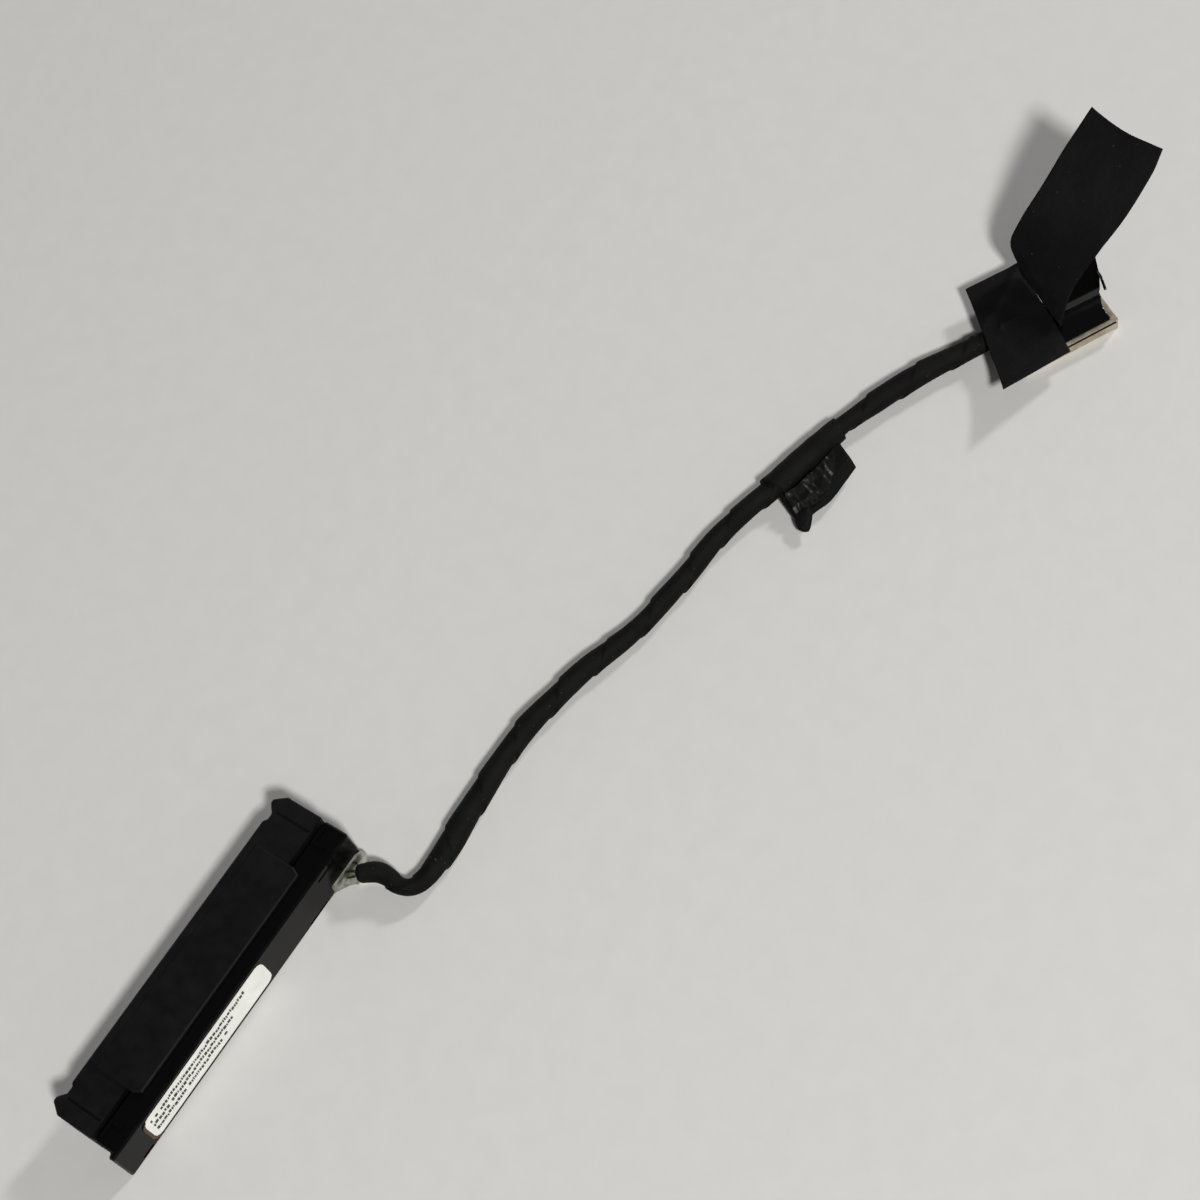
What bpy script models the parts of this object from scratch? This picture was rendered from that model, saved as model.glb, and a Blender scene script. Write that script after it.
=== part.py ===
"""A laptop's SATA hard drive cable, lying on a table.

The drive receptacle lies along X with its mating face towards +Y. The taped
wire bundle leaves its rear near the +X end and runs to the board plug, which
mates downwards and carries a pull tab. Units are metres.
"""

import math

import bmesh
import bpy
from mathutils import Matrix, Vector

MM = 0.001

# Clearances
MOULDED_GAP = 0.3 * MM
FORMED_GAP = 0.1 * MM
STICKER_GAP = 0.05 * MM
CUT_MARGIN = 0.5 * MM
JOIN_OVERLAP = 0.1 * MM

# Receptacle housing
HOUSING_LENGTH = 41.8 * MM
HOUSING_HEIGHT = 5.9 * MM
FRONT_Y = 4.6 * MM
BLOCK_DEPTH = 5.65 * MM
HOUSING_BEVEL = 0.12 * MM
ARM_WIDTH = 2.1 * MM
ARM_REACH = 0.5 * MM
ARM_CHAMFER = 1.0 * MM
ARM_LEAD = 0.85 * MM
ARM_NOTCH_WIDTH = 1.2 * MM
ARM_NOTCH_DEPTH = 0.35 * MM
GROOVE_WIDTH = 0.3 * MM
GROOVE_DEPTH = 0.35 * MM
GROOVE_FRONT_LAND = 0.8 * MM
GROOVE_REAR_LAND = 0.25 * MM
PLATE_LENGTH = 29.2 * MM
PLATE_RISE = 0.3 * MM
PLATE_SINK = 0.15 * MM
PLATE_FRONT_LAND = 1.3 * MM
PLATE_OVERHANG = 1.85 * MM
PLATE_CHAMFER = 1.0 * MM
TAIL_BLOCK_LENGTH = 34.0 * MM
TAIL_BLOCK_DEPTH = 1.15 * MM
TAIL_BLOCK_LOW = 0.95 * MM
TAIL_BLOCK_HIGH = 4.6 * MM

# Contacts of the receptacle
CONTACT_PITCH = 1.27 * MM
SEGMENT_PITCH = 6.35 * MM
SIGNAL_CONTACTS = 7
POWER_CONTACTS = 15
CONTACT_WIDTH = 0.5 * MM
CONTACT_THICKNESS = 0.2 * MM
TAIL_REACH = 0.35 * MM
TAIL_HEIGHT = 3.95 * MM
SPRING_LOW = 3.2 * MM
SPRING_TIP_SETBACK = 0.55 * MM
SPRING_BEND_SETBACK = 1.4 * MM
SPRING_ROOT_SETBACK = 4.2 * MM

# Slots that the drive's tongues enter
SLOT_DEPTH = 5.0 * MM
SLOT_FLOOR = 2.1 * MM
SLOT_CEILING = 3.5 * MM
SLOT_END = 1.3 * MM
CHANNEL_TOP = 4.35 * MM
KEY_WIDTH = 1.2 * MM
KEY_FLOOR = 1.1 * MM

# Rear cover
COVER_LENGTH = 41.8 * MM
COVER_HEIGHT = 5.45 * MM
COVER_DEPTH = 3.45 * MM
COVER_LEAN = 0.5 * MM
LEAN_FROM_Y = -3.7 * MM
WING_REACH = 0.6 * MM
WING_DEPTH = 0.8 * MM
COVER_WALL = 0.7 * MM
COVER_BEVEL = 0.2 * MM
HOOK_WIDTH = 0.5 * MM
HOOK_RISE = 0.3 * MM
HOOK_SETBACK = 0.25 * MM
HOOK_CORNER_X = 17.9 * MM
HOOK_ARM = 2.3 * MM
HOOK_LEG = 1.7 * MM
FACE_SLOT_DEPTH = 0.35 * MM
FACE_SLOT_WIDTH = 0.35 * MM
UPPER_SLOT = (14.9 * MM, 17.8 * MM, 4.5 * MM)
LOWER_SLOT = (11.1 * MM, 14.2 * MM, 0.35 * MM)
END_SLOT = (-19.3 * MM, -17.6 * MM, 0.5 * MM)
EXIT_X = 17.9 * MM
EXIT_WIDTH = 4.6 * MM
EXIT_HIGH = 1.5 * MM

# Glue inside the cover and round the leaving wires
GLUE_FOOT_WIDTH = 5.2 * MM
GLUE_FOOT_LOW = 0.05 * MM
GLUE_FOOT_HIGH = 1.2 * MM
GLUE_TIP_WIDTH = 2.3 * MM
GLUE_TIP_HEIGHT = 2.1 * MM

# Stickers on the cover's back
LABEL_LENGTH = 21.0 * MM
LABEL_HEIGHT = 4.1 * MM
LABEL_LEFT = -16.8 * MM
LABEL_LOW = 0.7 * MM
LABEL_CORNER = 0.9 * MM
LABEL_THICKNESS = 0.1 * MM
UNDERLAY_LENGTH = 4.0 * MM
UNDERLAY_PROUD = 0.4 * MM

# Wire bundle: centre of the bundle, from the cover to the board plug
CABLE_DIAMETER = 2.4 * MM
CABLE_ROUTE = (
    (18.15, -7.04, 2.20),
    (18.60, -7.89, 2.12),
    (19.29, -8.94, 1.95),
    (19.58, -10.06, 1.75),
    (19.71, -11.23, 1.60),
    (20.10, -12.25, 1.50),
    (20.90, -12.95, 1.38),
    (22.05, -13.35, 1.32),
    (23.40, -13.50, 1.30),
    (26.50, -13.42, 1.32),
    (31.50, -13.10, 1.40),
    (37.00, -12.88, 1.50),
    (42.00, -13.00, 1.55),
    (47.40, -13.85, 1.50),
    (52.60, -15.05, 1.45),
    (57.80, -16.85, 1.42),
    (63.00, -17.80, 1.45),
    (68.50, -18.45, 1.50),
    (73.50, -18.90, 1.55),
    (78.00, -20.00, 1.60),
    (82.50, -21.30, 1.62),
    (87.50, -22.50, 1.62),
    (92.50, -23.80, 1.60),
    (97.00, -25.50, 1.50),
    (101.50, -27.40, 1.35),
    (106.00, -29.95, 1.32),
    (109.40, -32.00, 1.32),
    (110.63, -32.78, 1.32),
)
ROUTE_STEPS = 3

# Piece of tape round the bundle
WRAP_FROM = 81.0 * MM
WRAP_TO = 91.2 * MM
WRAP_THICKNESS = 0.2 * MM
FLAG_THICKNESS = 0.2 * MM
FLAG_ROWS = (
    ((80.95, -21.90, 1.50), (90.60, -24.10, 1.45)),
    ((80.70, -23.20, 1.55), (90.30, -25.20, 1.55)),
    ((79.90, -25.20, 1.30), (89.70, -26.70, 1.50)),
    ((78.70, -27.40, 0.95), (88.40, -28.10, 1.30)),
)

# Board plug, in its own frame: x along the plug, y to its rear, z up
PLUG_CENTRE = (115.0 * MM, -39.3 * MM)
PLUG_TURN = -29.5
PLUG_CIRCUITS = 8
PLUG_PITCH = 1.25 * MM
SHELL_LENGTH = 12.4 * MM
SHELL_DEPTH = 4.0 * MM
SHELL_HEIGHT = 1.9 * MM
SHELL_THICKNESS = 0.2 * MM
SHELL_FRONT_Y = -2.3 * MM
SHELL_BEVEL = 0.08 * MM
SHELL_SKIRT = 1.1 * MM
RECESS_LENGTH = 10.6 * MM
RECESS_DEPTH = 2.2 * MM
RECESS_HEIGHT = 1.15 * MM
RECESS_FRONT_WALL = 0.55 * MM
PIN_WIDTH = 0.4 * MM
PIN_THICKNESS = 0.15 * MM
PIN_HEIGHT = 0.95 * MM
PIN_DROP = 0.35 * MM
PIN_TAIL = 0.45 * MM
WIRE_DIAMETER = 0.42 * MM
LANE_PITCH = 0.5 * MM
LAYER_PITCH = 0.6 * MM
WIRE_CORNER = 0.3 * MM

# Films and tapes over the plug
FILM_THICKNESS = 0.15 * MM
FILM_ROWS = (
    ((-1.20, -1.55, 2.08), (5.85, -1.55, 2.08)),
    ((-1.20, -0.55, 2.08), (5.90, -0.70, 2.08)),
    ((-1.20, 0.45, 2.10), (5.95, 0.15, 2.14)),
    ((-1.20, 1.15, 2.34), (6.00, 0.90, 2.52)),
    ((-1.20, 1.95, 2.14), (6.10, 1.70, 2.24)),
    ((-0.90, 2.75, 2.08), (6.90, 2.30, 2.05)),
    ((1.80, 4.10, 2.08), (7.60, 4.30, 2.05)),
    ((5.20, 6.00, 2.10), (8.40, 6.50, 2.10)),
)
TAPE_THICKNESS = 0.2 * MM
TAPE_ROWS = (
    ((-10.26, -4.60, 4.20), (-0.55, -3.55, 2.33)),
    ((-9.45, -2.00, 3.30), (-0.45, -1.50, 2.40)),
    ((-8.81, 0.67, 2.75), (-0.40, 0.80, 2.62)),
    ((-8.30, 3.00, 2.86), (-0.30, 3.00, 2.62)),
    ((-7.75, 5.50, 2.90), (-0.15, 5.50, 2.62)),
    ((-7.20, 8.00, 2.80), (0.05, 8.00, 2.72)),
    ((-6.80, 10.10, 2.90), (0.20, 9.90, 2.90)),
)
TAB_ROWS = (
    ((-0.20, -0.30, 2.98), (-0.25, 8.20, 3.10)),
    ((2.46, 2.30, 3.60), (-0.26, 9.21, 4.20)),
    ((4.62, 3.04, 5.40), (-0.23, 10.75, 6.60)),
    ((7.16, 3.25, 8.20), (1.43, 11.08, 9.60)),
    ((10.97, 3.93, 11.20), (4.68, 12.01, 12.20)),
    ((15.29, 5.63, 13.90), (9.05, 13.85, 14.60)),
    ((17.58, 6.99, 15.60), (13.82, 16.03, 16.00)),
)

PART_COLLECTION = "sata_hdd_cable"
CUTTER_COLLECTION = "cutters"


def clear_scene():
    """Remove whatever the open file holds."""
    for item in list(bpy.data.objects):
        bpy.data.objects.remove(item, do_unlink=True)


def new_collection(name):
    """Make a collection of the scene."""
    collection = bpy.data.collections.new(name)
    bpy.context.scene.collection.children.link(collection)
    return collection


def material(name, colour, roughness, metallic=0.0):
    """A plain material with linear RGB colour."""
    made = bpy.data.materials.new(name)
    made.use_nodes = True
    shader = made.node_tree.nodes["Principled BSDF"]
    shader.inputs["Base Color"].default_value = (*colour, 1.0)
    shader.inputs["Roughness"].default_value = roughness
    shader.inputs["Metallic"].default_value = metallic
    return made


def link_piece(name, data, finish, parent=None):
    """Add a sub-part to the model."""
    piece = bpy.data.objects.new(name, data)
    bpy.data.collections[PART_COLLECTION].objects.link(piece)
    if finish is not None:
        data.materials.append(finish)
    piece.parent = parent
    return piece


def link_cutter(name, data, parent=None):
    """Add a hidden body that only cuts or joins."""
    cutter = bpy.data.objects.new(name, data)
    bpy.data.collections[CUTTER_COLLECTION].objects.link(cutter)
    cutter.hide_render = True
    cutter.display_type = "WIRE"
    cutter.parent = parent
    return cutter


def box_mesh(name, boxes):
    """A mesh of separate boxes, each given by its low and high corner."""
    shape = bmesh.new()
    for low, high in boxes:
        size = Vector(high) - Vector(low)
        centre = (Vector(high) + Vector(low)) / 2
        place = Matrix.Translation(centre) @ Matrix.Diagonal((*size, 1.0))
        bmesh.ops.create_cube(shape, size=1.0, matrix=place)
    mesh = bpy.data.meshes.new(name)
    shape.to_mesh(mesh)
    shape.free()
    return mesh


def outline_curve(name, points, half_thickness):
    """A flat outline filled on both sides and thickened."""
    curve = bpy.data.curves.new(name, "CURVE")
    curve.dimensions = "2D"
    curve.fill_mode = "BOTH"
    curve.extrude = half_thickness
    spline = curve.splines.new("POLY")
    spline.points.add(len(points) - 1)
    for point, (across, along) in zip(spline.points, points):
        point.co = (across, along, 0.0, 1.0)
    spline.use_cyclic_u = True
    return curve


def tube_curve(name, points, radius):
    """A round tube through the points, with closed ends."""
    curve = bpy.data.curves.new(name, "CURVE")
    curve.dimensions = "3D"
    curve.bevel_depth = radius
    curve.bevel_resolution = 2
    curve.use_fill_caps = True
    spline = curve.splines.new("POLY")
    spline.points.add(len(points) - 1)
    for point, place in zip(spline.points, points):
        point.co = (*place, 1.0)
    return curve


def curve_mesh(name, curve, place=None):
    """Turn a curve into a welded mesh, moved by a matrix."""
    carrier = bpy.data.objects.new(name + "_curve", curve)
    bpy.context.scene.collection.objects.link(carrier)
    carrier.matrix_world = place if place is not None else Matrix()
    bpy.context.view_layer.update()
    graph = bpy.context.evaluated_depsgraph_get()
    mesh = bpy.data.meshes.new_from_object(carrier.evaluated_get(graph))
    mesh.name = name
    shape = bmesh.new()
    shape.from_mesh(mesh)
    bmesh.ops.remove_doubles(shape, verts=shape.verts, dist=0.001 * MM)
    bmesh.ops.transform(shape, matrix=carrier.matrix_world, verts=shape.verts)
    bmesh.ops.recalc_face_normals(shape, faces=shape.faces)
    shape.to_mesh(mesh)
    shape.free()
    bpy.data.objects.remove(carrier)
    return mesh


def plan_prism(name, points, low, high):
    """A mesh with the given plan outline between two heights."""
    curve = outline_curve(name, points, (high - low) / 2)
    return curve_mesh(name, curve, Matrix.Translation((0, 0, (low + high) / 2)))


def front_prism(name, points, near, far):
    """A mesh with the given outline in X and Z between two values of Y."""
    turn = Matrix.Rotation(math.radians(90), 4, "X")
    place = Matrix.Translation((0, (near + far) / 2, 0)) @ turn
    return curve_mesh(name, outline_curve(name, points, abs(far - near) / 2), place)


def combine(piece, cutter, operation):
    """Add a live Boolean to a piece."""
    step = piece.modifiers.new(cutter.name, "BOOLEAN")
    step.object = cutter
    step.operation = operation
    step.solver = "EXACT"


def round_edges(piece, width):
    """Round a piece's sharp edges a little."""
    step = piece.modifiers.new("rounded_edges", "BEVEL")
    step.width = width
    step.segments = 1
    step.limit_method = "ANGLE"
    step.angle_limit = math.radians(40)


def mirrored(points):
    """Complete an outline that is given from the +X side of the mid plane."""
    return list(points) + [(-x, y) for x, y in reversed(points)]


def smooth_curve(points, steps):
    """Points on a Catmull-Rom curve through the given points."""
    knots = [Vector(point) for point in points]
    knots.insert(0, 2 * knots[0] - knots[1])
    knots.append(2 * knots[-1] - knots[-2])
    line = []
    for before, start, end, after in zip(knots, knots[1:], knots[2:], knots[3:]):
        for step in range(steps):
            t = step / steps
            line.append(0.5 * (
                2 * start
                + (end - before) * t
                + (2 * before - 5 * start + 4 * end - after) * t ** 2
                + (3 * start - before - 3 * end + after) * t ** 3
            ))
    line.append(knots[-2])
    return line


def sheet_mesh(name, rows, across, along):
    """A thin sheet's middle surface, from rows of left and right points."""
    left = [Vector(row[0]) * MM for row in rows]
    right = [Vector(row[1]) * MM for row in rows]
    shape = bmesh.new()
    bmesh.ops.create_grid(shape, x_segments=across, y_segments=along, size=1.0)
    for corner in shape.verts:
        side = (corner.co.x + 1) / 2
        reach = (corner.co.y + 1) / 2 * (len(rows) - 1)
        row = min(int(reach + 1e-6), len(rows) - 2)
        part = reach - row
        start = left[row].lerp(left[row + 1], part)
        end = right[row].lerp(right[row + 1], part)
        corner.co = start.lerp(end, side)
    mesh = bpy.data.meshes.new(name)
    shape.to_mesh(mesh)
    shape.free()
    return mesh


def thicken(piece, thickness):
    """Give a sheet its thickness, half to each side."""
    step = piece.modifiers.new("thickness", "SOLIDIFY")
    step.thickness = thickness
    step.offset = 0.0
    step.use_even_offset = True


def strip_outline(line, thickness):
    """The outline of a bent strip whose middle line is given."""
    upper = []
    lower = []
    for index, here in enumerate(line):
        before = Vector(line[max(index - 1, 0)])
        after = Vector(line[min(index + 1, len(line) - 1)])
        run = (after - before).normalized()
        side = Vector((-run.y, run.x)) * thickness / 2
        upper.append(tuple(Vector(here) + side))
        lower.append(tuple(Vector(here) - side))
    return upper + lower[::-1]


def contact_places(first, count, pitch):
    """Centres of a row of contacts."""
    return [first + index * pitch for index in range(count)]


SPAN = (SIGNAL_CONTACTS + POWER_CONTACTS - 2) * CONTACT_PITCH + SEGMENT_PITCH
SIGNAL_X = contact_places(-SPAN / 2, SIGNAL_CONTACTS, CONTACT_PITCH)
POWER_X = contact_places(SIGNAL_X[-1] + SEGMENT_PITCH, POWER_CONTACTS, CONTACT_PITCH)
BLOCK_REAR_Y = FRONT_Y - BLOCK_DEPTH
TAIL_BLOCK_Y = BLOCK_REAR_Y - TAIL_BLOCK_DEPTH
TAIL_END_Y = TAIL_BLOCK_Y - TAIL_REACH
COVER_FRONT_Y = BLOCK_REAR_Y - MOULDED_GAP
COVER_REAR_Y = COVER_FRONT_Y - COVER_DEPTH
GLUE_FOOT_Y = COVER_REAR_Y - COVER_LEAN / 2 - MOULDED_GAP


def slot_outline(places, key_side):
    """Front view of one slot: its tongue space, key and contact channels."""
    low_x = places[0] - SLOT_END
    high_x = places[-1] + SLOT_END
    half = CONTACT_WIDTH / 2 + FORMED_GAP
    outline = [(low_x, SLOT_FLOOR), (high_x - KEY_WIDTH, SLOT_FLOOR)]
    outline += [(high_x - KEY_WIDTH, KEY_FLOOR), (high_x, KEY_FLOOR)]
    outline.append((high_x, SLOT_CEILING))
    for place in reversed(places):
        outline += [(place + half, SLOT_CEILING), (place + half, CHANNEL_TOP)]
        outline += [(place - half, CHANNEL_TOP), (place - half, SLOT_CEILING)]
    outline.append((low_x, SLOT_CEILING))
    if key_side < 0:
        middle = low_x + high_x
        outline = [(middle - x, z) for x, z in reversed(outline)]
    return outline


def housing_outline():
    """Plan of the housing's main block with its two guide arms."""
    side_x = HOUSING_LENGTH / 2
    arm_x = side_x - ARM_WIDTH
    notch_x = arm_x - ARM_NOTCH_WIDTH
    chamfer = ARM_NOTCH_DEPTH
    tip_y = FRONT_Y + ARM_REACH
    return mirrored([
        (notch_x - chamfer, FRONT_Y),
        (notch_x, FRONT_Y - ARM_NOTCH_DEPTH),
        (arm_x - chamfer, FRONT_Y - ARM_NOTCH_DEPTH),
        (arm_x, FRONT_Y),
        (side_x - ARM_CHAMFER - ARM_REACH, tip_y),
        (side_x - ARM_CHAMFER, tip_y),
        (side_x, tip_y - ARM_LEAD - ARM_REACH),
        (side_x, BLOCK_REAR_Y),
    ])


def plate_outline():
    """Plan of the raised plate, which laps over the rear cover."""
    side_x = PLATE_LENGTH / 2
    rear_y = BLOCK_REAR_Y - PLATE_OVERHANG
    return mirrored([
        (side_x, FRONT_Y - PLATE_FRONT_LAND),
        (side_x, rear_y + PLATE_CHAMFER),
        (side_x - PLATE_CHAMFER / 2, rear_y),
    ])


def tail_holes():
    """Boxes that open the wall behind the slots for the contact tails."""
    half_x = CONTACT_WIDTH / 2 + FORMED_GAP
    half_z = CONTACT_THICKNESS / 2 + FORMED_GAP
    front_y = FRONT_Y - SLOT_DEPTH + JOIN_OVERLAP
    rear_y = TAIL_BLOCK_Y - CUT_MARGIN
    return [
        ((x - half_x, rear_y, TAIL_HEIGHT - half_z), (x + half_x, front_y, TAIL_HEIGHT + half_z))
        for x in SIGNAL_X + POWER_X
    ]


def make_housing(finish):
    """The receptacle housing: one moulding with slots, arms and plate."""
    body = plan_prism("receptacle_housing", housing_outline(), 0, HOUSING_HEIGHT)
    housing = link_piece("receptacle_housing", body, finish)
    round_edges(housing, HOUSING_BEVEL)
    plate_low = HOUSING_HEIGHT - PLATE_SINK
    plate_high = HOUSING_HEIGHT + PLATE_RISE
    plate = plan_prism("raised_plate", plate_outline(), plate_low, plate_high)
    combine(housing, link_cutter("raised_plate", plate), "UNION")
    half_block = TAIL_BLOCK_LENGTH / 2
    block = box_mesh("tail_block", [(
        (-half_block, TAIL_BLOCK_Y, TAIL_BLOCK_LOW),
        (half_block, BLOCK_REAR_Y + JOIN_OVERLAP, TAIL_BLOCK_HIGH),
    )])
    combine(housing, link_cutter("tail_block", block), "UNION")
    near = FRONT_Y + CUT_MARGIN
    far = FRONT_Y - SLOT_DEPTH
    for name, places, key_side in (("signal_slot", SIGNAL_X, 1), ("power_slot", POWER_X, -1)):
        slot = front_prism(name, slot_outline(places, key_side), near, far)
        combine(housing, link_cutter(name, slot), "DIFFERENCE")
    combine(housing, link_cutter("tail_holes", box_mesh("tail_holes", tail_holes())), "DIFFERENCE")
    groove_x = HOUSING_LENGTH / 2 - ARM_WIDTH
    grooves = [(
        (side * groove_x - GROOVE_WIDTH / 2, BLOCK_REAR_Y + GROOVE_REAR_LAND, HOUSING_HEIGHT - GROOVE_DEPTH),
        (side * groove_x + GROOVE_WIDTH / 2, FRONT_Y - GROOVE_FRONT_LAND, HOUSING_HEIGHT + CUT_MARGIN),
    ) for side in (-1, 1)]
    combine(housing, link_cutter("arm_grooves", box_mesh("arm_grooves", grooves)), "DIFFERENCE")
    return housing


def make_contacts(finish):
    """Spring contacts, each bent down into its slot and back up at the tip."""
    line = [
        (TAIL_END_Y, TAIL_HEIGHT),
        (FRONT_Y - SPRING_ROOT_SETBACK, TAIL_HEIGHT),
        (FRONT_Y - SPRING_BEND_SETBACK, SPRING_LOW),
        (FRONT_Y - SPRING_TIP_SETBACK, TAIL_HEIGHT - CONTACT_THICKNESS),
    ]
    outline = strip_outline(line, CONTACT_THICKNESS)
    curve = outline_curve("contact_strip", outline, CONTACT_WIDTH / 2)
    upright = Matrix(((0, 0, 1), (1, 0, 0), (0, 1, 0))).to_euler()
    for group, places in (("signal", SIGNAL_X), ("power", POWER_X)):
        for number, place in enumerate(places, 1):
            contact = link_piece(f"{group}_contact_{number}", curve, None)
            contact.rotation_euler = upright
            contact.location.x = place
    curve.materials.append(finish)


def hook_outline(side):
    """Plan of the L-shaped latch hook on top of the cover at one end."""
    front_y = COVER_FRONT_Y - HOOK_SETBACK
    outline = [
        (HOOK_CORNER_X, front_y),
        (HOOK_CORNER_X, front_y - HOOK_LEG),
        (HOOK_CORNER_X + HOOK_WIDTH, front_y - HOOK_LEG),
        (HOOK_CORNER_X + HOOK_WIDTH, front_y - HOOK_WIDTH),
        (HOOK_CORNER_X + HOOK_ARM, front_y - HOOK_WIDTH),
        (HOOK_CORNER_X + HOOK_ARM, front_y),
    ]
    return [(side * x, y) for x, y in outline]


def face_slots():
    """Shallow slots in the cover's back."""
    inner_y = COVER_REAR_Y + FACE_SLOT_DEPTH
    outer_y = COVER_REAR_Y - CUT_MARGIN
    half = FACE_SLOT_WIDTH / 2
    return [
        ((x0, outer_y, z - half), (x1, inner_y, z + half))
        for x0, x1, z in (UPPER_SLOT, LOWER_SLOT, END_SLOT)
    ]


def lean(mesh):
    """Lean what lies at the cover's rear wall: in at its top, out at its foot."""
    for corner in mesh.vertices:
        if corner.co.y < LEAN_FROM_Y:
            corner.co.y += COVER_LEAN * (corner.co.z / COVER_HEIGHT - 0.5)
    return mesh


def cover_outline():
    """Plan of the cover, whose rear wall reaches past its left end."""
    half = COVER_LENGTH / 2
    wing_y = COVER_REAR_Y + WING_DEPTH
    return [
        (half, COVER_FRONT_Y),
        (half, COVER_REAR_Y),
        (-half - WING_REACH, COVER_REAR_Y),
        (-half - WING_REACH, wing_y),
        (-half, wing_y),
        (-half, COVER_FRONT_Y),
    ]


def make_cover(finish):
    """The rear cover: a cap open to the front, with hooks and a cable exit."""
    half = COVER_LENGTH / 2
    shell = lean(plan_prism("rear_cover", cover_outline(), 0, COVER_HEIGHT))
    cover = link_piece("rear_cover", shell, finish)
    round_edges(cover, COVER_BEVEL)
    cavity = box_mesh("cover_cavity", [(
        (COVER_WALL - half, COVER_REAR_Y + COVER_WALL, COVER_WALL),
        (half - COVER_WALL, COVER_FRONT_Y + CUT_MARGIN, COVER_HEIGHT - COVER_WALL),
    )])
    combine(cover, link_cutter("cover_cavity", lean(cavity)), "DIFFERENCE")
    exit_hole = box_mesh("cable_exit", [(
        (EXIT_X - EXIT_WIDTH / 2, COVER_REAR_Y - CUT_MARGIN, -CUT_MARGIN),
        (EXIT_X + EXIT_WIDTH / 2, COVER_REAR_Y + COVER_WALL + CUT_MARGIN, EXIT_HIGH),
    )])
    combine(cover, link_cutter("cable_exit", lean(exit_hole)), "DIFFERENCE")
    combine(cover, link_cutter("face_slots", lean(box_mesh("face_slots", face_slots()))), "DIFFERENCE")
    for name, side in (("left_hook", -1), ("right_hook", 1)):
        low_z = COVER_HEIGHT - JOIN_OVERLAP
        hook = plan_prism(name, hook_outline(side), low_z, COVER_HEIGHT + HOOK_RISE)
        combine(cover, link_cutter(name, hook), "UNION")
    return cover


def glue_neck(route):
    """The lump of glue from the cover's foot up to the wire bundle."""
    run = (route[1] - route[0]).normalized()
    tip = route[0] - run * MOULDED_GAP
    side = Vector((-run.y, run.x, 0)).normalized() * GLUE_TIP_WIDTH / 2
    rise = Vector((0, 0, GLUE_TIP_HEIGHT / 2))
    shape = bmesh.new()
    bmesh.ops.create_cube(shape, size=2.0)
    for corner in shape.verts:
        sign = corner.co.copy()
        if sign.y > 0:
            foot_z = GLUE_FOOT_HIGH if sign.z > 0 else GLUE_FOOT_LOW
            corner.co = (EXIT_X + sign.x * GLUE_FOOT_WIDTH / 2, GLUE_FOOT_Y, foot_z)
        else:
            corner.co = tip + side * sign.x + rise * sign.z
    mesh = bpy.data.meshes.new("glue_neck")
    shape.to_mesh(mesh)
    shape.free()
    return mesh


def make_glue(finish, route):
    """The glue fills the cover, leaves it at its foot and rises to the wires."""
    half = COVER_LENGTH / 2 - COVER_WALL - MOULDED_GAP
    front_y = TAIL_END_Y - MOULDED_GAP
    rear_y = COVER_REAR_Y + COVER_WALL + MOULDED_GAP
    low_z = COVER_WALL + MOULDED_GAP
    high_z = COVER_HEIGHT - COVER_WALL - MOULDED_GAP
    fill = lean(box_mesh("inner_mould", [((-half, rear_y, low_z), (half, front_y, high_z))]))
    glue = link_piece("inner_mould", fill, finish)
    throat = box_mesh("glue_throat", [(
        (EXIT_X - EXIT_WIDTH / 2 + MOULDED_GAP, GLUE_FOOT_Y - JOIN_OVERLAP, GLUE_FOOT_LOW),
        (EXIT_X + EXIT_WIDTH / 2 - MOULDED_GAP, rear_y + JOIN_OVERLAP, EXIT_HIGH - MOULDED_GAP),
    )])
    combine(glue, link_cutter("glue_throat", throat), "UNION")
    combine(glue, link_cutter("glue_neck", glue_neck(route)), "UNION")
    return glue


def corner_outline(low_x, low_z, length, height, radius):
    """A rectangle with cut corners, in X and Z."""
    high_x = low_x + length
    high_z = low_z + height
    centres = (
        (high_x - radius, high_z - radius, 0),
        (low_x + radius, high_z - radius, 90),
        (low_x + radius, low_z + radius, 180),
        (high_x - radius, low_z + radius, 270),
    )
    outline = []
    for x, z, start in centres:
        for turn in (0, 30, 60, 90):
            angle = math.radians(start + turn)
            outline.append((x + radius * math.cos(angle), z + radius * math.sin(angle)))
    return outline


def make_stickers(paper, amber):
    """The paper label and the amber film that shows past its end."""
    under_y = COVER_REAR_Y - STICKER_GAP
    under_x = LABEL_LEFT - UNDERLAY_PROUD
    under = corner_outline(under_x, LABEL_LOW, UNDERLAY_LENGTH, LABEL_HEIGHT, LABEL_CORNER)
    film = front_prism("label_underlay", under, under_y, under_y - LABEL_THICKNESS)
    link_piece("label_underlay", lean(film), amber)
    label_y = under_y - LABEL_THICKNESS - STICKER_GAP
    outline = corner_outline(LABEL_LEFT, LABEL_LOW, LABEL_LENGTH, LABEL_HEIGHT, LABEL_CORNER)
    sheet = front_prism("label", outline, label_y, label_y - LABEL_THICKNESS)
    link_piece("label", lean(sheet), paper)


def make_mid_flag(finish, route):
    """A piece of tape folded round the bundle, its ends stuck together."""
    covered = [point for point in route if WRAP_FROM <= point.x <= WRAP_TO]
    inner = CABLE_DIAMETER / 2 + FORMED_GAP
    outer = tube_curve("mid_tape_flag", covered, inner + WRAP_THICKNESS)
    wrap = link_piece("mid_tape_flag", curve_mesh("mid_tape_flag", outer), finish)
    sheet = link_cutter("flag_sheet", sheet_mesh("flag_sheet", FLAG_ROWS, 4, 6))
    thicken(sheet, FLAG_THICKNESS)
    combine(wrap, sheet, "UNION")
    longer = [2 * covered[0] - covered[1]] + covered + [2 * covered[-1] - covered[-2]]
    bore = curve_mesh("flag_bore", tube_curve("flag_bore", longer, inner))
    combine(wrap, link_cutter("flag_bore", bore), "DIFFERENCE")
    return wrap


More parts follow.
